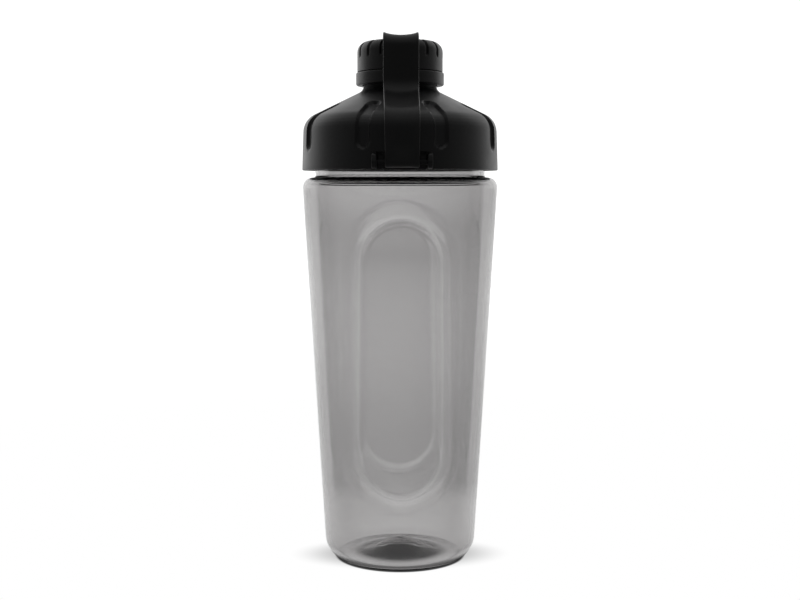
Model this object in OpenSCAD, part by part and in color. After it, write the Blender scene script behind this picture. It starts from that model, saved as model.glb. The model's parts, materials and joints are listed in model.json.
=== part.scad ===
// Protein shaker bottle: a tinted clear cup, a screw-on lid with a mixing grid,
// a screw cap on the drinking spout, and a carry strap hinged on the lid.
// Frame: origin at the centre of the standing face, +Z up, the strap is on the -Y side.
// All sizes are in millimetres.

/* [Cup] */
// Outer radius that the tapered wall would have at the standing face
cup_foot_wall_r = 35.35; // [34.8:0.05:35.8]
// Radius that the wall gains per millimetre of height
cup_taper = 0.0594; // [0.056:0.0002:0.061]
// Height of the flat ledge where the neck starts
ledge_z = 181; // [176:1:184]
// Wall thickness of the blown body
cup_wall = 2; // [1.6:0.1:2.2]
// Radius of the rounded edge between wall and ledge
cup_edge_r = 4.5; // [3.5:0.1:5]
// Radius of the heel between wall and standing ring
heel_r = 11; // [10.5:0.1:11.5]
// Outer radius of the neck
neck_r = 39.9; // [39.6:0.05:40.1]
// Height of the neck above the ledge
neck_h = 21; // [20.8:0.1:21.2]

/* [Grip panels] */
// Width of each recessed panel
panel_w = 42; // [36:0.2:46]
// Height of a panel's lower end
panel_low_z = 32.4; // [28:0.2:50]
// Height of a panel's upper end
panel_high_z = 165.2; // [120:0.2:166]
// Depth of a panel below the wall
panel_depth = 2.6; // [1:0.1:2.8]

/* [Lid] */
// Outer radius at the bottom of the skirt
lid_r = 46; // [45.8:0.1:46.4]
// Open gap between the ledge and the skirt
lid_gap = 3.2; // [3:0.1:3.6]
// Slope of the conical top
cone_angle = 26.1; // [25.5:0.1:26.5]
// Radius of the rounded shoulder
shoulder_r = 9; // [8.5:0.1:9.5]
// Number of grip grooves
groove_count = 8; // [4:4:8]
// Width of a grip groove
groove_w = 6; // [4:0.2:7]
// Depth of a grip groove
groove_depth = 1.6; // [0.8:0.1:1.8]

/* [Spout cap] */
// Outer radius of the grooved shell
cap_r = 20; // [19.8:0.1:20.3]
// Outer radius of the plain band below it
band_r = 20.6; // [20.4:0.1:20.7]
// Radius of the shell's rounded top edge
cap_edge_r = 5; // [4:0.1:5.2]
// Number of fine grooves round the shell
flute_count = 17; // [11:1:24]
// Width of a fine groove
flute_w = 1.4; // [0.8:0.1:1.4]
// Depth of a fine groove
flute_depth = 0.8; // [0.3:0.05:0.8]

/* [Strap] */
// Width of the strap at its head
strap_top_w = 16.2; // [15.6:0.1:16.6]
// Width of the strap at its hinge
strap_foot_w = 15; // [14:0.1:15.6]
// Thickness of the strap at its rims
strap_t = 2.3; // [2.1:0.1:2.4]
// Depth of the hollow along the strap's outer face
strap_hollow = 1; // [0.4:0.1:1.2]
// Radius of the hinge pin
pin_r = 1; // [0.9:0.05:1.1]

/* [Hidden] */
$fn = 96;

smoke = [0.46, 0.45, 0.46, 0.6];
black = [0.07, 0.07, 0.075];
dark_grey = [0.2, 0.2, 0.21];

// Cup
neck_top = ledge_z + neck_h;
neck_bore_r = neck_r - cup_wall;
neck_thread_z = ledge_z + 7;
foot_r = 31;
heel_z = 10;
wall_lean = atan(cup_taper);
punt_r = 23;

// Threads: each pair has two starts, so the lead is twice the pitch. The moving
// ridges hang just below the fixed ones, as they do when the screw is tight.
lid_lead = 12;
cap_lead = 10;
thread_h = 1.5;
thread_foot_w = 2.4;
thread_tip_w = 1.1;
small_thread_h = 1.1;
small_thread_foot_w = 2;
small_thread_tip_w = 0.9;
starts = 2;
thread_play = 0.2;
thread_embed = 0.5;
steps_per_turn = 24;

// Lid, from the skirt up
skirt_z = ledge_z + lid_gap;
skirt_bore_r = 42;
skirt_top_r = lid_r - 0.6;
cone_top_r = 20;
cone_top_z = skirt_z + 35.8;
lid_wall = 2.2;
seat_z = neck_top + 2;
plug_r = 36;
plug_t = 1.8;
plug_low_z = neck_top - 4;
shoulder_c = skirt_top_r - shoulder_r;
shoulder_z = cone_z(shoulder_c + shoulder_r * sin(cone_angle)) - shoulder_r * cos(cone_angle);

// Spout
collar_r = 17;
collar_fillet = 4;
collar_z = cone_z(collar_r + collar_fillet) + collar_fillet / cos(cone_angle);
spout_r = 15.2;
spout_bore_r = 12.8;
spout_top = skirt_z + 54.2;
spout_thread_z = collar_z + 3.6;

// Spout cap
cap_low = skirt_z + 39.5;
band_top = cap_low + 5.9;
seam = 0.3;
seal_t = 1.6;
core_bore_r = 16.8;
core_r = 18.4;
core_roof = spout_top + seal_t;
core_top = core_roof + 1.8;
cap_top = core_top + 2.2;
flute_low = cap_low + 12.7;
stud_h = 1.6;

// Strap and its hinge
strap_gap = 0.4;
hinge_y = -(lid_r + 0.15);
hinge_z = skirt_z + 3.1;
barrel_r = strap_t + 0.15;
pin_clearance = 0.05;
pocket_w = 22.4;
pocket_floor_y = -43.5;
pocket_top = skirt_z + 7.1;
ear_t = 2.2;
skirt_face = lid_r + 0.3;
cap_face = 21.7;
low_bend_r = 9.9;
mid_bend_r = 10;
top_bend_r = 4.2;
strap_rest_z = cap_top + 0.2;
head_r = strap_top_w / 2;
eye_r = 5;

// Outer radius of the cup's tapered wall at height z
function wall_r(z) = cup_foot_wall_r + cup_taper * z;

// Height of the lid's cone at radius r
function cone_z(r) = cone_top_z - (r - cone_top_r) * tan(cone_angle);

// Points along an arc about c, from angle a to angle b
function arc(c, r, a, b, n = 8) =
    [for (i = [0:n]) c + r * [cos(a + (b - a) * i / n), sin(a + (b - a) * i / n)]];

// ---------- shared shapes ----------

// One helical ridge. It rises counter-clockwise and fades out over its first and last steps.
// side is 1 for a ridge outside a wall of radius r and -1 for one inside it.
module thread_ridge(r, side, height, foot_w, tip_w, lead, turns, z) {
    n = ceil(turns * steps_per_turn);
    foot = r - side * thread_embed;
    function fade(i) = min(1, min(i, n - i) / 4 + 0.08);
    points = [for (i = [0:n])
                  let (a = 360 * turns * i / n, mid = z + lead * a / 360, tip = r + side * height * fade(i))
                  for (p = [[foot, -foot_w / 2], [tip, -tip_w / 2], [tip, tip_w / 2], [foot, foot_w / 2]])
                      [p[0] * cos(a), p[0] * sin(a), mid + p[1]]];
    sides = [for (i = [0:n - 1], k = [0:3])
                 let (a = 4 * i + k, b = 4 * i + (k + 1) % 4)
                     for (t = [[a, b, b + 4], [a, b + 4, a + 4]]) t];
    faces = concat(sides, [[3, 2, 1, 0], [4 * n, 4 * n + 1, 4 * n + 2, 4 * n + 3]]);
    polyhedron(points, side < 0 ? [for (f = faces) [for (k = [len(f) - 1:-1:0]) f[k]]] : faces);
}

module double_thread(r, side, height, foot_w, tip_w, lead, turns, z, turned = 0) {
    for (k = [0:starts - 1])
        rotate([0, 0, turned + 360 * k / starts])
            thread_ridge(r, side, height, foot_w, tip_w, lead, turns, z);
}

// ---------- cup ----------

// Upright slot with round ends, cut towards -Y
module slot_prism(w, low, high) {
    rotate([90, 0, 0])
        linear_extrude(60) {
            for (z = [low + w / 2, high - w / 2])
                translate([0, z]) circle(d = w);
            translate([-w / 2, low + w / 2]) square([w, high - low - w]);
        }
}

// Both grip panels, grown by the given amount sideways and inwards
module panels(grow) {
    floor_in = panel_depth + grow;
    for (side = [0, 180])
        rotate([0, 0, side])
            difference() {
                slot_prism(panel_w + 2 * grow, panel_low_z - grow, panel_high_z + grow);
                cylinder(h = ledge_z, r1 = wall_r(0) - floor_in, r2 = wall_r(ledge_z) - floor_in);
            }
}

module cup_outside() {
    heel = [wall_r(heel_z) - heel_r / cos(wall_lean), heel_z];
    edge = [wall_r(ledge_z - cup_edge_r) - cup_edge_r / cos(wall_lean), ledge_z - cup_edge_r];
    rotate_extrude()
        polygon(concat(
            [[0, 6.2], [8.4, 6], [9.2, 5.1], [12.8, 4.4], [13.6, 3.5], [punt_r - 0.8, 0.7],
             [punt_r, 0], [foot_r - 0.6, 0], [foot_r, 0.5], [foot_r + 0.2, 1.5]],
            arc(heel, heel_r, -50, -wall_lean),
            arc(edge, cup_edge_r, -wall_lean, 90),
            [[neck_r + 0.6, ledge_z], [neck_r, ledge_z + 0.6], [neck_r, neck_top - 0.7],
             [neck_r - 0.7, neck_top], [0, neck_top]]));
}

module cup_inside() {
    heel = [wall_r(heel_z) - heel_r / cos(wall_lean), heel_z];
    edge = [wall_r(ledge_z - cup_edge_r) - cup_edge_r / cos(wall_lean), ledge_z - cup_edge_r];
    rotate_extrude()
        polygon(concat(
            [[0, 8.2], [8.4, 8], [9.4, 7.1], [12.8, 6.4], [13.8, 5.5], [punt_r - 0.4, 2.6],
             [punt_r + 2, 1.4]],
            arc(heel, heel_r - cup_wall, -75, -wall_lean),
            arc(edge, cup_edge_r - cup_wall, -wall_lean, 90, 6),
            [[neck_bore_r + 0.9, ledge_z - cup_wall], [neck_bore_r, ledge_z - cup_wall + 0.9],
             [neck_bore_r, neck_top - 0.5], [neck_bore_r + 0.5, neck_top], [neck_bore_r + 0.5, neck_top + 1],
             [0, neck_top + 1]]));
}

module cup() {
    color(smoke) {
        difference() {
            cup_outside();
            panels(0);
            difference() {
                cup_inside();
                panels(cup_wall);
            }
        }
        double_thread(neck_r, 1, thread_h, thread_foot_w, thread_tip_w, lid_lead, 0.9,
                      neck_thread_z);
    }
}

// ---------- lid ----------

// The lid's outer skin moved inwards by the given amount, closed down to its axis
module lid_skin(inset) {
    rotate_extrude()
        polygon(concat(
            [[0, skirt_z - (inset > 0 ? 1 : 0)], [lid_r - inset, skirt_z - (inset > 0 ? 1 : 0)]],
            arc([shoulder_c, shoulder_z], shoulder_r - inset, 0, 90 - cone_angle, 10),
            inset > 0 ? [[0, cone_z(0) - inset / cos(cone_angle)]]
                : concat(arc([collar_r + collar_fillet, collar_z], collar_fillet, 270 - cone_angle, 180, 8),
                         [[collar_r, collar_z + 0.2], [spout_r, collar_z + 0.2],
                          [spout_r, spout_top - 0.6], [spout_r - 0.6, spout_top], [0, spout_top]])));
}

// Hollow of the skirt, the space over the grid and the spout's bore
module lid_hollow() {
    roof_drop = lid_wall / cos(cone_angle);
    dome_r = plug_r - plug_t;
    rotate_extrude()
        polygon([[0, skirt_z - 1], [skirt_bore_r, skirt_z - 1], [skirt_bore_r, seat_z],
                 [dome_r, seat_z], [dome_r, cone_z(dome_r) - roof_drop],
                 [spout_bore_r + 2, cone_z(spout_bore_r + 2) - roof_drop],
                 [spout_bore_r, cone_z(spout_bore_r) - roof_drop + 1],
                 [spout_bore_r, spout_top + 1], [0, spout_top + 1]]);
}

// Grip grooves: round-ended slots that follow the skin at a constant depth
module lid_grooves() {
    top_end_r = 34;
    low_end_z = skirt_z + 12.1;
    reach = 20;
    difference() {
        for (k = [0:groove_count - 1])
            rotate([0, 0, 22.5 + 360 * k / groove_count])
                translate([top_end_r, 0, low_end_z]) {
                    translate([0, -groove_w / 2, 0]) cube([reach, groove_w, reach + 5]);
                    cylinder(h = reach + 5, d = groove_w);
                    rotate([0, 90, 0]) cylinder(h = reach, d = groove_w);
                }
        lid_skin(groove_depth);
    }
}

// Two lugs on the skirt that hold the hinge pin
module hinge_ears() {
    for (x = [-pocket_w / 2 - ear_t, pocket_w / 2])
        translate([x, 0, 0])
            rotate([90, 0, 90])
                linear_extrude(ear_t) {
                    translate([hinge_y, hinge_z]) circle(r = 2.2);
                    polygon([[hinge_y + 3, skirt_z + 0.2], [hinge_y - 0.6, skirt_z + 0.95],
                             [hinge_y - 2.1, hinge_z + 0.6], [hinge_y - 0.9, pocket_top - 1.2],
                             [hinge_y + 3, pocket_top + 0.8]]);
                }
}

module lid() {
    color(black)
        difference() {
            union() {
                difference() {
                    lid_skin(0);
                    lid_hollow();
                    lid_grooves();
                }
                difference() {
                    translate([0, 0, plug_low_z]) cylinder(h = seat_z - plug_low_z + 1, r = plug_r);
                    translate([0, 0, plug_low_z - 1])
                        cylinder(h = seat_z - plug_low_z + 3, r = plug_r - plug_t);
                }
                hinge_ears();
                double_thread(skirt_bore_r, -1, thread_h, thread_foot_w, thread_tip_w, lid_lead, 0.7,
                              neck_thread_z - (thread_foot_w + thread_tip_w) / 2 - thread_play);
                double_thread(spout_r, 1, small_thread_h, small_thread_foot_w, small_thread_tip_w,
                              cap_lead, 0.7, spout_thread_z);
            }
            translate([-pocket_w / 2, -60, skirt_z - 1])
                cube([pocket_w, 60 + pocket_floor_y, pocket_top - skirt_z + 1]);
            translate([-20, hinge_y, hinge_z]) rotate([0, 90, 0]) cylinder(h = 40, r = pin_r);
        }
}

module lid_gasket() {
    color(dark_grey)
        rotate_extrude()
            polygon([[plug_r + 1.6, neck_top], [skirt_bore_r - 0.2, neck_top],
                     [skirt_bore_r - 0.2, seat_z - 0.3], [skirt_bore_r - 0.5, seat_z],
                     [plug_r + 1.9, seat_z], [plug_r + 1.6, seat_z - 0.3]]);
}

// Strainer: a collar pushed over the lid's inner ring, with rings and spokes across it
module mixing_grid() {
    bar = 1.4;
    ring_pitch = 5.3;
    ring_count = 5;
    spoke_count = 12;
    hub_r = 3;
    grid_t = 1.6;
    collar_out = plug_r + 1.2;
    grid_low = plug_low_z - grid_t;
    color(dark_grey) {
        difference() {
            translate([0, 0, grid_low]) cylinder(h = neck_top - grid_low + 1, r = collar_out);
            translate([0, 0, plug_low_z]) cylinder(h = 20, r = plug_r);
            translate([0, 0, grid_low - 1]) cylinder(h = 20, r = plug_r - plug_t - 0.8);
        }
        translate([0, 0, grid_low]) {
            cylinder(h = grid_t, r = hub_r);
            for (k = [1:ring_count])
                difference() {
                    cylinder(h = grid_t, r = hub_r + ring_pitch * k);
                    translate([0, 0, -1]) cylinder(h = grid_t + 2, r = hub_r + ring_pitch * k - bar);
                }
            for (k = [0:spoke_count - 1])
                rotate([0, 0, 360 * k / spoke_count])
                    translate([hub_r - 0.5, -bar / 2, 0])
                        cube([plug_r - hub_r - 1, bar, grid_t]);
        }
    }
}

// ---------- spout cap ----------

module cap_core() {
    color(black) {
        rotate_extrude()
            polygon([[collar_r + 0.6, cap_low], [band_r - 0.4, cap_low], [band_r, cap_low + 0.4],
                     [band_r, band_top - 0.4], [band_r - 0.3, band_top], [core_r, band_top],
                     [core_r, core_top], [0, core_top], [0, core_roof], [core_bore_r, core_roof],
                     [core_bore_r, cap_low + 2], [collar_r + 0.6, cap_low + 1.4]]);
        double_thread(core_bore_r, -1, small_thread_h, small_thread_foot_w, small_thread_tip_w,
                      cap_lead, 0.7,
                      spout_thread_z - (small_thread_foot_w + small_thread_tip_w) / 2 - thread_play);
    }
}

// Outline of the grooved shell, moved inwards by the given amount
module shell_skin(inset) {
    rotate_extrude()
        polygon(concat(
            [[0, band_top + seam - (inset > 0 ? 1 : 0)], [cap_r - inset, band_top + seam - (inset > 0 ? 1 : 0)]],
            arc([cap_r - cap_edge_r, cap_top - cap_edge_r], cap_edge_r - inset, 0, 90, 8),
            [[0, cap_top - inset]]));
}

module cap_shell() {
    color(black)
        difference() {
            union() {
                shell_skin(0);
                translate([0, 0, cap_top - 0.01]) cylinder(h = stud_h, r1 = 4.2, r2 = 2.6);
            }
            translate([0, 0, band_top - 1]) cylinder(h = core_top - band_top + 1, r = core_r);
            difference() {
                for (k = [0:flute_count - 1])
                    rotate([0, 0, 360 * (k + 0.5) / flute_count])
                        translate([13, -flute_w / 2, flute_low]) cube([20, flute_w, 20]);
                shell_skin(flute_depth);
            }
        }
}

module cap_seal() {
    color(dark_grey)
        translate([0, 0, spout_top]) cylinder(h = seal_t, r = core_bore_r - 0.4);
}

// ---------- strap ----------

// Side outline of the strap between two depths below its outer face, in [distance to the front, z]
module strap_side(inner, outer) {
    lean = 90 - cone_angle;
    under_cone = cone_z(0) + strap_gap / cos(cone_angle);
    slope = tan(cone_angle);
    low = [skirt_face - low_bend_r,
           under_cone - slope * (skirt_face - low_bend_r + low_bend_r * sin(cone_angle))
           - low_bend_r * cos(cone_angle)];
    mid = [cap_face + mid_bend_r,
           under_cone - slope * (cap_face + mid_bend_r - mid_bend_r * sin(cone_angle))
           + mid_bend_r * cos(cone_angle)];
    top = [cap_face - top_bend_r, strap_rest_z - top_bend_r];
    function side(d) = concat(
        [[skirt_face + d, hinge_z]],
        arc(low, low_bend_r + d, 0, lean, 8),
        arc(mid, mid_bend_r - d, 180 + lean, 180, 8),
        arc(top, top_bend_r + d, 0, 90, 8),
        [[-head_r, strap_rest_z + d]]);
    in_side = side(strap_t - inner);
    out_side = side(strap_t - outer);
    polygon([for (p = concat(in_side, [for (k = [len(out_side) - 1:-1:0]) out_side[k]])) [-p[0], p[1]]]);
}

module strap_sheet(inner, outer, w) {
    rotate([90, 0, 90]) linear_extrude(w, center = true) strap_side(inner, outer);
}

module strap() {
    tall = strap_rest_z + 10;
    color(black)
        difference() {
            union() {
                intersection() {
                    strap_sheet(strap_t, 0, strap_top_w);
                    rotate([90, 0, 0])
                        linear_extrude(120, center = true)
                            polygon([[-strap_foot_w / 2, hinge_z - 1], [strap_foot_w / 2, hinge_z - 1],
                                     [strap_top_w / 2, cap_low], [strap_top_w / 2, tall],
                                     [-strap_top_w / 2, tall], [-strap_top_w / 2, cap_low]]);
                    union() {
                        cylinder(h = tall, r = head_r);
                        translate([-20, -80, 0]) cube([40, 80, tall]);
                    }
                }
                translate([-strap_foot_w / 2, hinge_y, hinge_z])
                    rotate([0, 90, 0]) cylinder(h = strap_foot_w, r = barrel_r);
            }
            intersection() {
                strap_sheet(strap_hollow, -1, strap_foot_w - 3);
                translate([-20, -80, hinge_z + 5]) cube([40, 80 - head_r, 100]);
            }
            translate([-20, hinge_y, hinge_z])
                rotate([0, 90, 0]) cylinder(h = 40, r = pin_r + pin_clearance);
            translate([0, 0, strap_rest_z - 1]) cylinder(h = 10, r = eye_r);
        }
}

module hinge_pin() {
    half = pocket_w / 2 + ear_t - 0.1;
    color(dark_grey)
        translate([-half, hinge_y, hinge_z]) rotate([0, 90, 0]) cylinder(h = 2 * half, r = pin_r);
}

cup();
lid();
lid_gasket();
mixing_grid();
cap_core();
cap_shell();
cap_seal();
strap();
hinge_pin();
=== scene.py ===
"""The looks of a protein shaker bottle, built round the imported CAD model.

The cup, the lid, the spout cap and the strap get detailed meshes of their own, with soft
edges, and the seals, the mixing grid and the hinge pin keep their CAD meshes. Lengths are in
millimetres until a mesh is made. The strap is on the -Y side.
"""

import json
import math

import bpy
import numpy as np
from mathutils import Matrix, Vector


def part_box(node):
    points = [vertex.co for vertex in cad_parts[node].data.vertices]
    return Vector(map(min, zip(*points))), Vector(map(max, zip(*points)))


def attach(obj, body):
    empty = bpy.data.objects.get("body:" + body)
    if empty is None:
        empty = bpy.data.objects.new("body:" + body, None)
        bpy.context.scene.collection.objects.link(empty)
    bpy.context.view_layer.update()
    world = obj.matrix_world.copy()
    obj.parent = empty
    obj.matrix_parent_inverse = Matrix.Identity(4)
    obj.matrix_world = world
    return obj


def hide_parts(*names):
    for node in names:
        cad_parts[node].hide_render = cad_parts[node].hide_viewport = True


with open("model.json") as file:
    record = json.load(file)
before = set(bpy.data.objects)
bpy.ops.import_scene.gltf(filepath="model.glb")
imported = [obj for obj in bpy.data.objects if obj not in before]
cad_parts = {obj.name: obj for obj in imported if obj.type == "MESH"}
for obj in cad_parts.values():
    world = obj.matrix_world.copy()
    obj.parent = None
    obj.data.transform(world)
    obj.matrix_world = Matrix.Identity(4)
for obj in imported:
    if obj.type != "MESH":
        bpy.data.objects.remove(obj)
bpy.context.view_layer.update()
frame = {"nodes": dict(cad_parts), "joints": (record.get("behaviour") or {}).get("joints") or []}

MM = 0.001
X, Y, Z = range(3)

# Edges sharper than this many degrees are shaded as edges
SHARP = 32


def low(node, axis):
    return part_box(node)[0][axis] / MM


def high(node, axis):
    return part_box(node)[1][axis] / MM


def joint_place(name):
    joint = next(j for j in frame["joints"] if j["name"] == name)
    return np.array(joint["pos_m"]) / MM


# Heights and radii that the frame gives
NECK_TOP = high("cup", Z)
SEAT_Z = high("lid_gasket", Z)
LID_LOW = low("lid", Z)
SPOUT_TOP = high("lid", Z)
LID_R = high("lid", X)
CAP_LOW = low("cap_core", Z)
BAND_R = high("cap_core", X)
CORE_TOP = high("cap_core", Z)
SHELL_LOW = low("cap_shell", Z)
SHELL_R = high("cap_shell", X)
STUD_TOP = high("cap_shell", Z)
STRAP_TOP = high("strap", Z)
HEAD_R = high("strap", X)
HINGE = joint_place("strap_swing")

# Cup. The heel's arcs start at these angles below level, outside and inside
HEEL_LOW = -64
HEEL_IN_LOW = -63
NECK_H = 21
LEDGE_Z = NECK_TOP - NECK_H
NECK_R = 39.9
WALL = 2
WALL_FOOT_R = 35.35
WALL_TAPER = 0.0594
HEEL_R = 11
HEEL_Z = 10
CUP_EDGE_R = 4.5
FOOT_IN_R = 22.9
FOOT_OUT_R = 29.5
FOOT_CHAMFER = (0.3, 0.15)
HOLLOW_R = 22.6
HOLLOW_H = 6.1
HOLLOW_EDGE = 0.2
BASE_R = 28.6
CUP_COLUMNS = 300

# Grip panels: a long round-ended shape on the front and on the back
PANEL_LOW = 54.8
PANEL_HIGH = 142.8
PANEL_RIM = 25.8
PANEL_LIP = 22.1
PANEL_FLOOR = 18.8
PANEL_DEPTH = 2.6
PANEL_FLARE = 1.2
STEEP_SHARE = 0.75
INNER_SHIFT = 0.75
TOP_BLEND = 18

# Lid
CONE_ANGLE = math.radians(26.1)
CONE_TOP_R = 20
CONE_TOP_Z = LID_LOW + 35.8
SKIRT_TOP_R = LID_R - 0.6
SKIRT_TOP_Z = LID_LOW + 17.7
SHOULDER_R = 9
SKIRT_BORE = 42
LID_WALL = 2.2
COLLAR_R = 17
COLLAR_FILLET = 4
SPOUT_R = 15.2
SPOUT_BORE = 12.8
PLUG_R = 36
PLUG_WALL = 1.8
PLUG_LOW = SEAT_Z - 6
LID_COLUMNS = 624

# Grip grooves of the lid, from a height on the skirt to a radius on the cone, with their half
# widths at the rim and at the floor
GROOVES = 8
GROOVE_LOW_Z = LID_LOW + 12.1
GROOVE_HIGH_R = 34
GROOVE_RIM = 3.5
GROOVE_FLOOR = 2.6
GROOVE_DEPTH = 1.45

# The strap's hinge: a pocket in the skirt between two ears
POCKET_HALF = 11.2
POCKET_TOP = LID_LOW + 7.1
POCKET_Y = 43.5
EAR_HALF = 1.1
PIN_BORE_LID = 1.02
PIN_BORE_STRAP = 1.05
BORE_REACH = 20

# Spout cap
CORE_R = 18.4
CORE_BORE = 16.8
SEAM = 0.3
SEAL_T = 1.6
STUD_H = 1.6
FLUTES = 17
FLUTE_W = 1.5
FLUTE_DEPTH = 0.8
FLUTE_LOW = CAP_LOW + 12.7
FLUTE_IN_R = 13

# Strap
STRAP_T = 2.3
STRAP_FOOT_W = 15
STRAP_HOLLOW = 1.1
STRAP_RIM = 0.5
STRAP_REST = STRAP_TOP - STRAP_T
EYE_R = 5
BARREL_R = 2.45

# Threads with two starts: lead of one turn, then (height, foot width, tip width)
LID_LEAD = 12
LID_THREAD = (1.5, 2.4, 1.1)
CAP_LEAD = 10
CAP_THREAD = (1.1, 2.0, 0.9)
NECK_THREAD_Z = LEDGE_Z + 7


def cone_z(r):
    """Height of the lid's cone at a radius."""
    return CONE_TOP_Z - (r - CONE_TOP_R) * math.tan(CONE_ANGLE)


# Where the collar's fillet ends, and where the spout's thread starts above it
COLLAR_Z = cone_z(COLLAR_R + COLLAR_FILLET) + COLLAR_FILLET / math.cos(CONE_ANGLE)
SPOUT_THREAD_Z = COLLAR_Z + 3.6


# ---------- outlines ----------


def arc(centre, radius, start, end, steps=8):
    """Points along an arc, between two angles in degrees."""
    angles = np.radians(np.linspace(start, end, steps + 1))
    return [(centre[0] + radius * math.cos(a), centre[1] + radius * math.sin(a)) for a in angles]


def rounded(corners, closed=False, steps=4):
    """Points of an outline whose corners are (across, up, rounding radius)."""
    points = []
    for i, (across, up, radius) in enumerate(corners):
        here = np.array((across, up), float)
        if radius == 0 or (not closed and i in (0, len(corners) - 1)):
            points.append(tuple(here))
            continue
        before = np.array(corners[i - 1][:2], float) - here
        after = np.array(corners[(i + 1) % len(corners)][:2], float) - here
        before /= np.linalg.norm(before)
        after /= np.linalg.norm(after)
        half = math.acos(np.clip(before @ after, -1, 1)) / 2
        middle = (before + after) / np.linalg.norm(before + after)
        centre = here + middle * radius / math.sin(half)
        first = here + before * radius / math.tan(half) - centre
        last = here + after * radius / math.tan(half) - centre
        turn = math.pi - 2 * half
        for k in range(steps + 1):
            t = k / steps
            mixed = math.sin((1 - t) * turn) * first + math.sin(t * turn) * last
            points.append(tuple(centre + mixed / math.sin(turn)))
    return points


def spaced(points, step, closed=False):
    """The same outline with its long stretches cut into steps. step may depend on the height."""
    out = []
    count = len(points)
    for i in range(count if closed else count - 1):
        a, b = np.array(points[i], float), np.array(points[(i + 1) % count], float)
        longest = step(*((a + b) / 2)) if callable(step) else step
        n = max(1, math.ceil(np.linalg.norm(b - a) / longest - 1e-6))
        out += [tuple(a + (b - a) * k / n) for k in range(n)]
    if not closed:
        out.append(points[-1])
    return out


def meet(a, b, c, d):
    """Where the line through a and b meets the line through c and d."""
    a, b, c, d = (np.array(p, float) for p in (a, b, c, d))
    ab, cd = b - a, d - c
    t = ((c - a)[0] * cd[1] - (c - a)[1] * cd[0]) / (ab[0] * cd[1] - ab[1] * cd[0])
    return a + t * ab


def outward(outline, closed):
    """Unit normals of an outline that runs with its solid on the left."""
    p = np.array(outline, float)
    along = np.roll(p, -1, 0) - np.roll(p, 1, 0)
    if not closed:
        along[0], along[-1] = p[1] - p[0], p[-1] - p[-2]
    along /= np.linalg.norm(along, axis=1)[:, None]
    return np.stack([along[:, 1], -along[:, 0]], 1)


def soft_step(t, rounding=0.25):
    """0 below 0 and 1 above 1, straight between, with rounded ends."""
    t = np.asarray(t, float)
    low_end = (t + rounding) ** 2 / (4 * rounding)
    high_end = 1 - (1 + rounding - t) ** 2 / (4 * rounding)
    out = np.where(t < rounding, low_end, t)
    out = np.where(t > 1 - rounding, high_end, out)
    return np.where(t < -rounding, 0, np.where(t > 1 + rounding, 1, out))


def ridge_height(turn, z, start_z, lead, turns, height, foot, tip):
    """How far a thread with two starts stands out at each angle and height."""
    total = np.zeros(np.broadcast(turn, z).shape)
    for start in (0, math.pi):
        angle = np.mod(turn - start, 2 * math.pi)
        middle = start_z + lead * angle / (2 * math.pi)
        flank = soft_step((foot / 2 - np.abs(z - middle)) / ((foot - tip) / 2), 0.2)
        ends = np.minimum(angle, 2 * math.pi * turns - angle) / math.radians(40)
        total = np.maximum(total, height * flank * soft_step(ends, 0.2))
    return total


# ---------- meshes ----------


def piece(name, points, faces, material, body, slot, replaced, sharp=SHARP):
    """A shown piece made from points in millimetres. It stands for the replaced CAD nodes."""
    mesh = bpy.data.meshes.new(name)
    mesh.from_pydata([tuple(p) for p in np.asarray(points) * MM], [], faces)
    mesh.validate()
    mesh.update()
    mesh.materials.append(material)
    obj = bpy.data.objects.new(name, mesh)
    bpy.context.scene.collection.objects.link(obj)
    shade(obj, sharp)
    if body:
        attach(obj, body)
        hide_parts(*replaced)
    return obj


def shade(obj, sharp):
    obj.data.shade_smooth()
    obj.data.set_sharp_from_angle(angle=math.radians(sharp))


def turned(outline, columns, shape=None, closed=False):
    """Points and faces of an outline turned about Z. shape gives each point's move across and up."""
    p = np.array(outline, float)
    turn = 2 * math.pi * np.arange(columns) / columns
    across = np.repeat(p[:, :1], columns, 1)
    up = np.repeat(p[:, 1:], columns, 1)
    if shape:
        move_across, move_up = shape(turn[None, :], across, up, outward(outline, closed))
        across = across + move_across
        up = up + move_up
    grid = np.stack([across * np.cos(turn), across * np.sin(turn), up], 2)
    points, rows = [], []
    for i in range(len(p)):
        on_axis = p[i, 0] < 1e-6
        rows.append(np.full(columns, len(points)) if on_axis else len(points) + np.arange(columns))
        points += [grid[i, 0]] if on_axis else list(grid[i])
    faces = []
    for i in range(len(p) if closed else len(p) - 1):
        a, b = rows[i], rows[(i + 1) % len(p)]
        for k in range(columns):
            j = (k + 1) % columns
            corner = [a[k], a[j], b[j], b[k]]
            face = [int(c) for n, c in enumerate(corner) if c not in corner[:n]]
            if len(face) > 2:
                faces.append(face)
    return points, faces


def swept(rings):
    """Points and faces of a solid through closed rings of equal count, with flat ends."""
    count = len(rings[0])
    points = [p for ring in rings for p in ring]
    faces = [list(range(count))[::-1], [len(points) - count + k for k in range(count)]]
    for i in range(len(rings) - 1):
        for k in range(count):
            j = (k + 1) % count
            faces.append([i * count + k, i * count + j, (i + 1) * count + j, (i + 1) * count + k])
    return points, faces


def upright(mesh_parts):
    """Turns points made about Z so that their axis is X."""
    points, faces = mesh_parts
    return [(p[2], p[0], p[1]) for p in points], faces


def moved(mesh_parts, by):
    points, faces = mesh_parts
    return [np.array(p) + by for p in points], faces


def combine(obj, operation, mesh_parts, material):
    """Adds a closed mesh to a piece, or cuts it away."""
    tool = piece("tool", *mesh_parts, material, None, None, None)
    change = obj.modifiers.new("combine", "BOOLEAN")
    change.operation = operation
    change.object = tool
    change.solver = "EXACT"
    evaluated = obj.evaluated_get(bpy.context.evaluated_depsgraph_get())
    result = bpy.data.meshes.new_from_object(evaluated)
    old, name = obj.data, obj.data.name
    obj.modifiers.clear()
    obj.data = result
    bpy.data.meshes.remove(old)
    result.name = name
    bpy.data.objects.remove(tool)


# ---------- materials ----------


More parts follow.
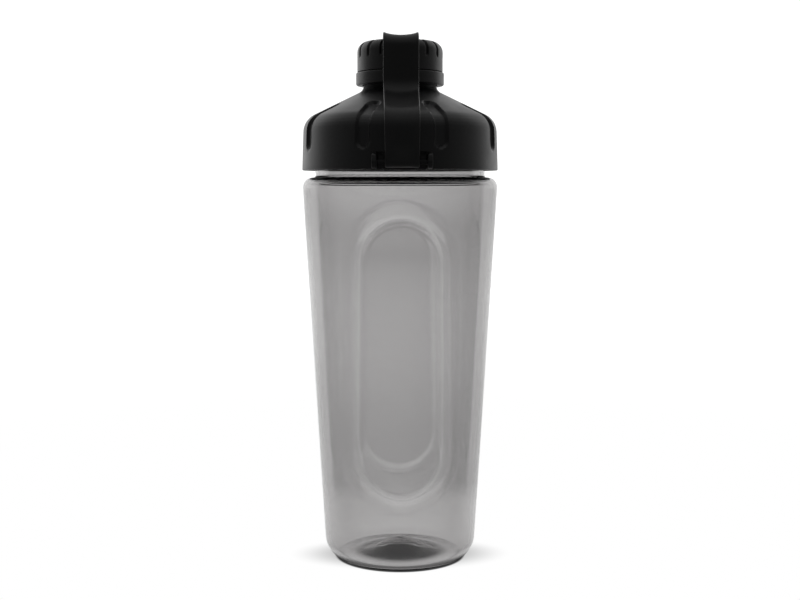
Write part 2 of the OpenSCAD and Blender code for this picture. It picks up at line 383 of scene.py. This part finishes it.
def principled(name, **values):
    """A new material and its shader, with plain numbers and colours on the shader's sockets."""
    material = bpy.data.materials.new(name)
    material.use_nodes = True
    shader = material.node_tree.nodes["Principled BSDF"]
    for socket, value in values.items():
        shader.inputs[socket.replace("_", " ")].default_value = value
    return material, shader


def noise(material, scale, detail=2.0, stretch=1.0):
    """Noise in the object's own space, with scale in features per metre, stretched along Z."""
    nodes, links = material.node_tree.nodes, material.node_tree.links
    place = nodes.new("ShaderNodeTexCoord")
    squash = nodes.new("ShaderNodeVectorMath")
    squash.operation = "MULTIPLY"
    squash.inputs[1].default_value = (1, 1, 1 / stretch)
    texture = nodes.new("ShaderNodeTexNoise")
    texture.inputs["Scale"].default_value = scale
    texture.inputs["Detail"].default_value = detail
    links.new(place.outputs["Object"], squash.inputs[0])
    links.new(squash.outputs["Vector"], texture.inputs["Vector"])
    return texture.outputs["Fac"]


def spread(material, value, least, most):
    """Maps noise to a range of numbers."""
    node = material.node_tree.nodes.new("ShaderNodeMapRange")
    node.inputs["From Min"].default_value = 0.3
    node.inputs["From Max"].default_value = 0.7
    node.inputs["To Min"].default_value = least
    node.inputs["To Max"].default_value = most
    material.node_tree.links.new(value, node.inputs["Value"])
    return node.outputs["Result"]


def bumps(material, shader, heights):
    """Stacks bumps. Each is (height socket, depth in metres)."""
    nodes, links = material.node_tree.nodes, material.node_tree.links
    below = None
    for height, depth in heights:
        bump = nodes.new("ShaderNodeBump")
        bump.inputs["Strength"].default_value = 1
        bump.inputs["Distance"].default_value = depth
        links.new(height, bump.inputs["Height"])
        if below:
            links.new(below, bump.inputs["Normal"])
        below = bump.outputs["Normal"]
    links.new(below, shader.inputs["Normal"])


def smoke_plastic():
    """Clear smoke-grey copolyester, polished, with the faint waves of a blown wall."""
    material, shader = principled(
        "smoke_plastic",
        Base_Color=(1, 1, 1, 1),
        Roughness=0.025,
        IOR=1.5,
        Transmission_Weight=1.0,
    )
    nodes, links = material.node_tree.nodes, material.node_tree.links
    tint = nodes.new("ShaderNodeVolumeAbsorption")
    tint.inputs["Color"].default_value = (0.5, 0.49, 0.49, 1)
    tint.inputs["Density"].default_value = 450
    links.new(tint.outputs["Volume"], nodes["Material Output"].inputs["Volume"])
    bumps(material, shader, [(noise(material, 220, 1.0, 25), 0.00002)])
    return material


def black_plastic(name="black_plastic", roughness=0.4, grain=0.000012):
    """Moulded black polypropylene with a fine spark-eroded grain."""
    material, shader = principled(name, Base_Color=(0.005, 0.005, 0.0055, 1), IOR=1.45)
    links = material.node_tree.links
    patches = noise(material, 70, 3.0)
    links.new(
        spread(material, patches, roughness - 0.04, roughness + 0.04), shader.inputs["Roughness"]
    )
    mix = material.node_tree.nodes.new("ShaderNodeMix")
    mix.data_type = "RGBA"
    mix.inputs["A"].default_value = (0.004, 0.004, 0.0045, 1)
    mix.inputs["B"].default_value = (0.007, 0.007, 0.0075, 1)
    links.new(spread(material, noise(material, 900, 2.0), 0, 1), mix.inputs["Factor"])
    links.new(mix.outputs["Result"], shader.inputs["Base Color"])
    bumps(material, shader, [(noise(material, 3500, 1.0), grain)])
    return material


def silicone():
    """Dark grey silicone with a soft bloom."""
    material, shader = principled("seal_silicone", Base_Color=(0.05, 0.05, 0.052, 1), IOR=1.41)
    links = material.node_tree.links
    links.new(spread(material, noise(material, 300, 3.0), 0.5, 0.66), shader.inputs["Roughness"])
    bumps(material, shader, [(noise(material, 1800, 2.0), 0.00002)])
    return material


# ---------- cup ----------


def wall_r(z):
    return WALL_FOOT_R + WALL_TAPER * z


def panel_shape(turn, across, up):
    """How far in the wall lies at the two grip panels: a steep edge inside a gentle one, a little
    wider apart towards the foot. The wall is thinner on the steep edge, and thicker on the floor,
    most of all at its top."""
    side = across * np.cos(turn)
    beyond = np.maximum(0, np.maximum(PANEL_LOW - up, up - PANEL_HIGH))
    away = np.hypot(side, beyond)
    lip = PANEL_LIP + PANEL_FLARE * np.clip((PANEL_HIGH - up) / (PANEL_HIGH - PANEL_LOW), 0, 1)

    def edge(shift, rounding):
        steep = soft_step((lip - shift - away) / (PANEL_LIP - PANEL_FLOOR), rounding)
        gentle = soft_step((PANEL_RIM - away) / (PANEL_RIM - lip), rounding)
        return STEEP_SHARE * steep + (1 - STEEP_SHARE) * gentle

    inner = edge(INNER_SHIFT, 0.35)
    top = soft_step((up - PANEL_HIGH) / TOP_BLEND, 0.3)
    extra = soft_step((inner - 0.8) / 0.2, 0.3) * (0.15 + 0.5 * top)
    outside = across > wall_r(up) - WALL / 2
    return np.where(outside, PANEL_DEPTH * edge(0, 0.12), PANEL_DEPTH * inner + extra)


def cup_shape(turn, across, up, normal):
    """Grip panels on both faces of the wall, and the neck's thread."""
    wall = (across > WALL_FOOT_R - WALL) & (up > HEEL_Z) & (up < LEDGE_Z - CUP_EDGE_R)
    inwards = np.where(wall, panel_shape(turn, across, up), 0)
    neck = (across > NECK_R - 0.1) & (up > LEDGE_Z + 1)
    thread = ridge_height(turn, up, NECK_THREAD_Z, LID_LEAD, 0.9, *LID_THREAD)
    return np.where(neck, thread, 0) - inwards, 0


def hollow_z(r):
    """Height of the hollow under the cup: a low dome with faint rings that die out at ring_end."""
    ring_height, ring_pitch, ring_end = 0.05, 5.2, 20
    dome = HOLLOW_H / 2 * (1 + math.cos(math.pi * min(r / HOLLOW_R, 1)))
    rings = ring_height * math.cos(2 * math.pi * r / ring_pitch)
    return dome + rings * max(0, 1 - r / ring_end) ** 2


def cup(material):
    """The cup's section runs from the hollow out and up the outside, then down the inside."""
    lean = math.degrees(math.atan(WALL_TAPER))
    heel = (wall_r(HEEL_Z) - HEEL_R / math.cos(math.radians(lean)), HEEL_Z)
    edge_z = LEDGE_Z - CUP_EDGE_R
    edge = (wall_r(edge_z) - CUP_EDGE_R / math.cos(math.radians(lean)), edge_z)
    under = [(r, HOLLOW_EDGE + hollow_z(r)) for r in np.linspace(0, HOLLOW_R, 34)]
    wide, tall = FOOT_CHAMFER
    foot = [(FOOT_IN_R, 0, 0), (FOOT_OUT_R, 0, 0.3), (FOOT_OUT_R + wide, tall, 0)]
    neck = [(NECK_R + 0.6, LEDGE_Z, 0), (NECK_R, LEDGE_Z + 0.6, 0.4), (NECK_R, NECK_TOP, 0.7),
            (NECK_R - WALL, NECK_TOP, 0.5), (NECK_R - WALL, LEDGE_Z - WALL, 0.9),
            (NECK_R - 1.1, LEDGE_Z - WALL, 0)]
    base = [(r, WALL + hollow_z(r)) for r in np.linspace(BASE_R, 0, 40)]
    outline = (
        under
        + rounded(foot)[1:-1]
        + arc(heel, HEEL_R, HEEL_LOW, -lean, 14)
        + arc(edge, CUP_EDGE_R, -lean, 90, 10)
        + rounded(neck)
        + arc(edge, CUP_EDGE_R - WALL, 90, -lean, 8)
        + arc(heel, HEEL_R - WALL, -lean, HEEL_IN_LOW, 14)
        + base
    )

    def step(across, up):
        if across > NECK_R - 0.1 and up > LEDGE_Z:
            return 0.5
        return 0.9 if across > wall_r(up) - 0.5 else 1.3

    points, faces = turned(spaced(outline, step), CUP_COLUMNS, cup_shape)
    piece("cup_body", points, faces, material, "cup", "smoke_plastic", ["cup"], 40)


# ---------- lid ----------


def lid_outline():
    """The lid's section, as one closed loop with its solid on the left."""
    roof = LID_WALL / math.cos(CONE_ANGLE)
    dome_r = PLUG_R - PLUG_WALL
    skirt_foot = (LID_R, LID_LOW)
    skirt_top = (SKIRT_TOP_R, SKIRT_TOP_Z)
    cone = [(r, cone_z(r)) for r in (30, 20)]
    shoulder = meet(skirt_foot, skirt_top, *cone)
    collar_top = COLLAR_Z + 0.2
    corners = [
        (SKIRT_BORE, LID_LOW, 0.4), (*skirt_foot, 0.6), (*shoulder, SHOULDER_R),
        (COLLAR_R, cone_z(COLLAR_R), COLLAR_FILLET), (COLLAR_R, collar_top, 0.3),
        (SPOUT_R, collar_top, 0.2), (SPOUT_R, SPOUT_TOP, 0.7), (SPOUT_BORE, SPOUT_TOP, 0.7),
        (SPOUT_BORE, cone_z(SPOUT_BORE) - roof, 2), (dome_r, cone_z(dome_r) - roof, 1),
        (dome_r, PLUG_LOW, 0.4), (PLUG_R, PLUG_LOW, 0.4), (PLUG_R, SEAT_Z, 0.3),
        (SKIRT_BORE, SEAT_Z, 0.5),
    ]

    def step(across, up):
        if across > SKIRT_BORE + 0.5:
            return 0.8
        if across > COLLAR_R and up > cone_z(across) - 1:
            return 0.9
        if across in (SKIRT_BORE, SPOUT_R):
            return 0.6
        return 2

    return spaced(rounded(corners, closed=True, steps=6), step, closed=True)


def groove_depth(outline):
    """A function of the angle that gives the grip grooves' depth at each point of the outline."""
    p = np.array(outline)
    along = np.concatenate([[0], np.cumsum(np.linalg.norm(np.diff(p, axis=0), axis=1))])
    skin = [i for i in range(len(p)) if p[i, 0] > COLLAR_R and p[i, 1] > cone_z(p[i, 0]) - 1e-3
            or p[i, 0] > SKIRT_TOP_R - SHOULDER_R]
    low_end = next(along[i] for i in skin if p[i, 1] > GROOVE_LOW_Z and p[i, 0] > SKIRT_BORE)
    high_end = next(along[i] for i in skin if p[i, 0] < GROOVE_HIGH_R and p[i, 1] > SKIRT_TOP_Z)
    outside = along < along[skin[-1]]

    def depth_at(turn, across):
        pitch = 2 * math.pi / GROOVES
        off = np.mod(turn, pitch) - pitch / 2
        side = across * np.sin(off)
        beyond = np.maximum(0, np.maximum(low_end - along, along - high_end))[:, None]
        away = np.hypot(side, beyond)
        cut = GROOVE_DEPTH * soft_step((GROOVE_RIM - away) / (GROOVE_RIM - GROOVE_FLOOR), 0.2)
        return np.where(outside[:, None], cut, 0)

    return depth_at


def lid(material):
    """The lid is turned with its grooves, the hinge's pocket and both threads, then gets its ears."""
    outline = lid_outline()
    grooves = groove_depth(outline)
    skirt_thread = NECK_THREAD_Z - 1.95

    def shape(turn, across, up, normal):
        cut = grooves(turn, across)
        move_across = -cut * normal[:, :1]
        move_up = -cut * normal[:, 1:]

        facing = np.maximum(1e-3, -np.sin(turn))
        side = across * np.cos(turn)
        room = np.maximum(0, across - POCKET_Y / facing)
        sides = soft_step((POCKET_HALF + 0.35 - np.abs(side)) / 0.7, 0.3)
        top = soft_step((POCKET_TOP + 0.5 - up) / 1.0, 0.3)
        front = (facing > 0.8) & (across > POCKET_Y)
        move_across -= np.where(front, room * sides * top, 0)

        spout = (np.abs(across - SPOUT_R) < 0.01) & (up > CAP_LOW)
        ridge = ridge_height(turn, up, SPOUT_THREAD_Z, CAP_LEAD, 0.7, *CAP_THREAD)
        move_across += np.where(spout, ridge, 0)
        bore = (np.abs(across - SKIRT_BORE) < 0.01) & (up < SEAT_Z)
        ridge = ridge_height(turn, up, skirt_thread, LID_LEAD, 0.7, *LID_THREAD)
        move_across -= np.where(bore, ridge, 0)
        return move_across, move_up

    points, faces = turned(outline, LID_COLUMNS, shape, closed=True)
    obj = piece("lid_moulding", points, faces, material, "lid", "black_plastic", ["lid"])
    for side in (-1, 1):
        combine(obj, "UNION", hinge_ear(side * (POCKET_HALF + EAR_HALF)), material)
    combine(obj, "DIFFERENCE", pin_bore(PIN_BORE_LID), material)
    shade(obj, SHARP)


def pin_bore(radius):
    """A long rod along the hinge, to cut away."""
    rod = [(0, -BORE_REACH), (radius, -BORE_REACH), (radius, BORE_REACH), (0, BORE_REACH)]
    return moved(upright(turned(rod, 32)), (0, HINGE[Y], HINGE[Z]))


def hinge_ear(middle):
    """A lug with rounded edges that holds one end of the hinge pin."""
    hy, hz = HINGE[Y], HINGE[Z]
    corners = [(hy + 4, LID_LOW + 0.3, 0), (hy - 0.9, LID_LOW + 0.3, 1.6), (hy - 2.2, hz, 2.0),
               (hy - 1.2, LID_LOW + 6.6, 1.6), (hy + 4, LID_LOW + 8.2, 0)]
    rings = []
    sides = ((-EAR_HALF, 0.5), (-0.95, 0.15), (-0.6, 0), (0.6, 0), (0.95, 0.15), (EAR_HALF, 0.5))
    for offset, inset in sides:
        ring = []
        for y, z in rounded(corners, closed=True, steps=8):
            back = (hy + 4 - y) / 6
            middle_z = hz + 0.4
            ring.append((middle + offset, y + inset * min(1, back * 2), z - inset * (z - middle_z) / 4))
        rings.append(ring)
    return swept(rings)


# ---------- spout cap ----------


def cap_core(material):
    band_top = SHELL_LOW - SEAM
    roof = SPOUT_TOP + SEAL_T
    corners = [
        (COLLAR_R + 0.6, CAP_LOW, 0.3), (BAND_R, CAP_LOW, 0.8), (BAND_R, band_top, 0.5),
        (CORE_R, band_top, 0.1), (CORE_R, CORE_TOP, 0.2), (0, CORE_TOP, 0), (0, roof, 0),
        (CORE_BORE, roof, 0.3), (CORE_BORE, CAP_LOW + 2, 0.3), (COLLAR_R + 0.6, CAP_LOW + 1.4, 0.1),
    ]
    thread_z = SPOUT_THREAD_Z - 1.65

    def shape(turn, across, up, normal):
        ridge = ridge_height(turn, up, thread_z, CAP_LEAD, 0.7, *CAP_THREAD)
        return np.where(np.abs(across - CORE_BORE) < 0.01, -ridge, 0), 0

    def step(across, up):
        return 0.5 if abs(across - CORE_BORE) < 0.01 else 2

    outline = rounded(corners, closed=True)
    start = outline.index((0.0, CORE_TOP)) + 1
    outline = outline[start:] + outline[:start]
    points, faces = turned(spaced(outline, step), 240, shape)
    piece("cap_inner_moulding", points, faces, material, "cap", "black_plastic", ["cap_core"])


def cap_shell(material):
    """The grooved outer shell of the spout cap, with the stud that the strap's eye snaps over."""
    top = STUD_TOP - STUD_H
    inside = [(0, CORE_TOP, 0), (CORE_R, CORE_TOP, 0.1), (CORE_R, SHELL_LOW, 0.2),
              (SHELL_R, SHELL_LOW, 0.4)]
    outside = [(SHELL_R, top, 5), (4.4, top, 0.5), (2.9, STUD_TOP, 0.6), (0, STUD_TOP, 0)]
    outline = rounded(inside + outside, steps=10)

    def step(across, up):
        if across > SHELL_R - 0.1:
            return 0.5
        return 0.8 if up > top - 1 else 3

    def shape(turn, across, up, normal):
        pitch = 2 * math.pi / FLUTES
        off = np.mod(turn, pitch) - pitch / 2
        side = np.abs(across * np.sin(off))
        half = FLUTE_W / 2
        beyond = np.maximum(0, np.maximum(FLUTE_LOW + half - up, FLUTE_IN_R + half - across))
        outer = (up > SHELL_LOW + 1) & (across > CORE_R + 0.05) | (up > top - 1.9)
        cut = FLUTE_DEPTH * soft_step((half + 0.15 - np.hypot(side, beyond)) / 0.4, 0.3)
        cut = np.where(outer & (across > FLUTE_IN_R - 0.5), cut, 0)
        return -cut * normal[:, :1], -cut * normal[:, 1:]

    points, faces = turned(spaced(outline, step), FLUTES * 34, shape)
    piece("cap_grooved_shell", points, faces, material, "cap", "black_plastic", ["cap_shell"])


# ---------- strap ----------


def strap_route():
    """The strap's underside from the hinge to its head, as (point, outward normal) in Y and Z."""
    gap = 0.4 / math.cos(CONE_ANGLE)
    skirt, cap_face = LID_R + 0.3, 21.7
    low_r, mid_r, top_r = 9.9, 10, 4.2
    slope = [(r, cone_z(r) + gap) for r in (30, 20)]
    low_bend = meet((skirt, 0), (skirt, 9), *slope)
    mid_bend = meet((cap_face, 0), (cap_face, 9), *slope)
    under = [(skirt, HINGE[Z], 0), (*low_bend, low_r), (*mid_bend, mid_r),
             (cap_face, STRAP_REST, top_r), (0, STRAP_REST, 0)]
    points = np.array(spaced(rounded(under, steps=10), 1.0))
    route = []
    for p, n in zip(points, outward(points, False)):
        route.append(((-p[0], p[1]), (-n[0], n[1])))
    return route


def strap_section(width, hollow):
    """The strap's section, as (across, away from the underside), with raised round rims."""
    rim = STRAP_RIM
    half = width / 2
    loop = arc((half - rim, rim), rim, -90, 0, 3)
    loop += arc((half - rim, STRAP_T - rim), rim, 0, 110, 7)
    edge_points = len(loop)
    inner = half - 1.6 * rim
    for t in np.linspace(1, -1, 17)[1:-1]:
        loop.append((inner * t, STRAP_T - rim * 0.12 - hollow * (1 - t * t) ** 0.8))
    return loop + [(-x, v) for x, v in reversed(loop[:edge_points])]


def strap(material):
    rings = []
    for (y, z), (ny, nz) in strap_route():
        wide = min(1, max(0, (z - HINGE[Z]) / (CAP_LOW - HINGE[Z])))
        width = STRAP_FOOT_W + (2 * HEAD_R - STRAP_FOOT_W) * wide
        hollow = STRAP_HOLLOW * float(soft_step((z - HINGE[Z] - 1) / 6, 0.3))
        rings.append([(x, y + v * ny, z + v * nz) for x, v in strap_section(width, hollow)])
    for angle in range(5, 81, 5):
        y, half = HEAD_R * math.sin(math.radians(angle)), HEAD_R * math.cos(math.radians(angle))
        hollow = STRAP_HOLLOW * float(soft_step((HEAD_R - 1 - y) / 2, 0.3))
        rings.append([(x, y, STRAP_REST + v) for x, v in strap_section(2 * half, hollow)])
    points, faces = swept(rings)
    obj = piece("strap_moulding", points, faces, material, "strap", "black_plastic", ["strap"])
    end = STRAP_FOOT_W / 2
    barrel = [(0, -end, 0), (BARREL_R, -end, 0.5), (BARREL_R, end, 0.5), (0, end, 0)]
    barrel = upright(turned(rounded(barrel), 64))
    combine(obj, "UNION", moved(barrel, (0, HINGE[Y], HINGE[Z])), material)
    wide = EYE_R + 0.6
    eye = [(0, STRAP_REST - 1), (wide, STRAP_REST - 1), (wide, STRAP_REST - 0.01),
           (EYE_R, STRAP_REST + 0.6), (EYE_R, STRAP_TOP + 1), (0, STRAP_TOP + 1)]
    combine(obj, "DIFFERENCE", turned(eye, 96), material)
    combine(obj, "DIFFERENCE", pin_bore(PIN_BORE_STRAP), material)
    shade(obj, SHARP)


# ---------- studio ----------


def math_node(tree, operation, a, b):
    node = tree.nodes.new("ShaderNodeMath")
    node.operation = operation
    for socket, value in zip(node.inputs, (a, b)):
        if isinstance(value, (int, float)):
            socket.default_value = value
        else:
            tree.links.new(value, socket)
    return node.outputs["Value"]


def product(tree, *factors):
    total = factors[0]
    for factor in factors[1:]:
        total = math_node(tree, "MULTIPLY", total, factor)
    return total


def ramp(tree, value, start, end, first, last):
    """Smoothly from first to last as the value goes from start to end."""
    node = tree.nodes.new("ShaderNodeMapRange")
    node.interpolation_type = "SMOOTHSTEP"
    for name, number in (("From Min", start), ("From Max", end), ("To Min", first), ("To Max", last)):
        node.inputs[name].default_value = number
    tree.links.new(value, node.inputs["Value"])
    return node.outputs["Result"]


def distance(tree, scale):
    """Distance from the object's origin, with each axis scaled."""
    place = tree.nodes.new("ShaderNodeTexCoord")
    shrink = tree.nodes.new("ShaderNodeVectorMath")
    shrink.operation = "MULTIPLY"
    shrink.inputs[1].default_value = scale
    tree.links.new(place.outputs["Object"], shrink.inputs[0])
    length = tree.nodes.new("ShaderNodeVectorMath")
    length.operation = "LENGTH"
    tree.links.new(shrink.outputs["Vector"], length.inputs[0])
    return length.outputs["Value"]


def split(tree, coordinates):
    """The three numbers of a texture coordinate."""
    place = tree.nodes.new("ShaderNodeTexCoord")
    parts = tree.nodes.new("ShaderNodeSeparateXYZ")
    tree.links.new(place.outputs[coordinates], parts.inputs["Vector"])
    return [parts.outputs[axis] for axis in "XYZ"]


def by_light(tree, kind, number, otherwise):
    """One number for one kind of light ray, such as Camera, and another for the other kinds."""
    path = tree.nodes.new("ShaderNodeLightPath")
    change = math_node(tree, "SUBTRACT", number, otherwise)
    change = math_node(tree, "MULTIPLY", path.outputs[f"Is {kind} Ray"], change)
    return math_node(tree, "ADD", otherwise, change)


FLOOR_R = 1600
FLOOR_Z = -0.2


def floor():
    """A white table that glows by itself, with painted shadows set into its glow: a soft painted shadow
    at each side of the bottle's foot, a painted dark ring where the foot stands, a painted dark disc
    and ring where it is seen through the cup, and painted dark at the foot in what the plastics mirror.
    It fades out far away, and sooner in what the bottle reflects and refracts."""
    material, shader = principled(
        "floor_white_painted_shadows",
        Base_Color=(0, 0, 0, 1),
        Roughness=1.0,
        Specular_IOR_Level=0.0,
        Emission_Color=(1, 1, 1, 1),
    )
    tree = material.node_tree
    from_axis = distance(tree, (1, 1, 0))
    depth = split(tree, "Object")[Y]

    # Seen directly: painted shadow, grey at each side of the bottle, and a painted dark ring where the
    # foot stands
    painted_side_shadow = ramp(tree, distance(tree, (1 / 0.052, 1 / 0.028, 0)), 0.45, 1.05, 0.5, 1.0)
    painted_contact_shadow = ramp(tree, from_axis, 0.0302, 0.0318, 0.05, 1.0)
    shadow = product(tree, painted_side_shadow, painted_contact_shadow)

    # Seen through the cup: painted shade, dark under the hollow and under the near half of the foot;
    # the glow is also a little dimmer behind and brighter at the sides
    painted_shade_under_hollow = ramp(tree, from_axis, 0.0165, 0.0255, 0.04, 1.05)
    behind = ramp(tree, from_axis, 0.05, 0.11, 1.0, 0.9)
    aside = ramp(tree, distance(tree, (1, 0, 0)), 0.03, 0.09, 1.0, 1.5)
    foot = math_node(tree, "MAXIMUM", ramp(tree, from_axis, 0.027, 0.03, 1.0, 0.35),
                     ramp(tree, from_axis, 0.031, 0.034, 0.35, 1.0))
    foot = math_node(tree, "MAXIMUM", foot, ramp(tree, depth, -0.012, 0, 0, 1))
    through = product(tree, painted_shade_under_hollow, behind, aside, foot)

    # Mirrored in the plastics: painted shadow, dark at the foot, and dim in front of the bottle
    in_front = math_node(tree, "MAXIMUM", ramp(tree, from_axis, 0.038, 0.05, 1.0, 0.15),
                         ramp(tree, depth, -0.04, 0.02, 0.15, 1.0))
    mirrored = product(tree, in_front, ramp(tree, from_axis, 0.031, 0.037, 0.05, 1.0))

    # The glow's strength carries the painted shadows: one set for the camera, one through the cup, one
    # in reflections
    unseen = by_light(tree, "Transmission", through, mirrored)
    tree.links.new(by_light(tree, "Camera", shadow, unseen), shader.inputs["Emission Strength"])
    near, far = (ramp(tree, from_axis, *reach, 1, 0) for reach in ((0.1, 0.16), (0.4, 1.5)))
    tree.links.new(by_light(tree, "Camera", far, near), shader.inputs["Alpha"])
    mesh = bpy.data.meshes.new("floor")
    points, faces = turned([(0, FLOOR_Z), (FLOOR_R, FLOOR_Z)], 128)
    mesh.from_pydata([tuple(p) for p in np.array(points) * MM], [], faces)
    mesh.materials.append(material)
    obj = bpy.data.objects.new("floor", mesh)
    bpy.context.scene.collection.objects.link(obj)


def surroundings():
    """A wide backdrop behind the bottle, brighter at its sides, in a dim room. Seen directly, all of
    it is white."""
    world = bpy.data.worlds.new("studio")
    bpy.context.scene.world = world
    world.use_nodes = True
    tree = world.node_tree
    x, y, z = split(tree, "Generated")
    x_square = product(tree, x, x)
    flat = math_node(tree, "SQRT", math_node(tree, "ADD", x_square, product(tree, y, y)), 0)
    facing = math_node(tree, "DIVIDE", y, flat)
    aside = math_node(tree, "DIVIDE", math_node(tree, "SQRT", x_square, 0), flat)

    # The backdrop: darker in the middle, lighter at the left, and banded near the horizon
    middle = ramp(tree, aside, 0.155, 0.19, 0.86, 0.98)
    sides = ramp(tree, aside, 0.22, 0.7, 1.0, 1.12)
    left = ramp(tree, math_node(tree, "DIVIDE", x, flat), -0.1, 0.13, 1.03, 0.9)
    bands = ((-0.035, 0, 1.25), (-0.035, -0.1, 1.2), (-0.12, -0.21, 0.82))
    bands = [ramp(tree, z, start, end, 1, last) for start, end, last in bands]
    backdrop = product(tree, middle, sides, left, *bands)
    shown = product(tree, ramp(tree, facing, 0.36, 0.5, 0, 1), ramp(tree, z, 0.5, 0.8, 1, 0))

    # The room: dim, a little lighter overhead, and lighter where it is seen through the cup
    overhead = by_light(tree, "Transmission", ramp(tree, z, 0.5, 0.75, 0, 0.5),
                        ramp(tree, z, 0.4, 0.97, 0, 0.25))
    around = by_light(tree, "Transmission", ramp(tree, facing, -0.1, 0.36, 0.75, 0.3),
                      ramp(tree, facing, -1, 0.4, 0.1, 0.3))
    dim = math_node(tree, "ADD", around, overhead)
    change = product(tree, shown, math_node(tree, "SUBTRACT", backdrop, dim))
    room = math_node(tree, "ADD", dim, change)
    background = tree.nodes["Background"]
    background.inputs["Color"].default_value = (1, 1, 1, 1)
    tree.links.new(by_light(tree, "Camera", 1.2, room), background.inputs["Strength"])
    bpy.context.scene.view_settings.view_transform = "Standard"


def camera():
    data = bpy.data.cameras.new("camera")
    data.lens = 57
    data.sensor_width = 36
    obj = bpy.data.objects.new("camera", data)
    bpy.context.scene.collection.objects.link(obj)
    obj.location = (-0.01258, -0.60067, 0.176)
    obj.rotation_euler = (math.radians(84.95), 0, math.radians(-1.2))
    bpy.context.scene.camera = obj


camera()
surroundings()
floor()

black = black_plastic()
cup(smoke_plastic())
lid(black)
cap_core(black)
cap_shell(black)
strap(black)

kept_materials = {
    "lid_gasket": silicone(),
    "cap_seal": silicone(),
    "mixing_grid": black_plastic("grid_plastic", 0.3, 0.000006),
    "hinge_pin": black_plastic("pin_plastic", 0.75, 0.000006),
}
for node, material in kept_materials.items():
    for material_slot in frame["nodes"][node].material_slots:
        material_slot.material = material
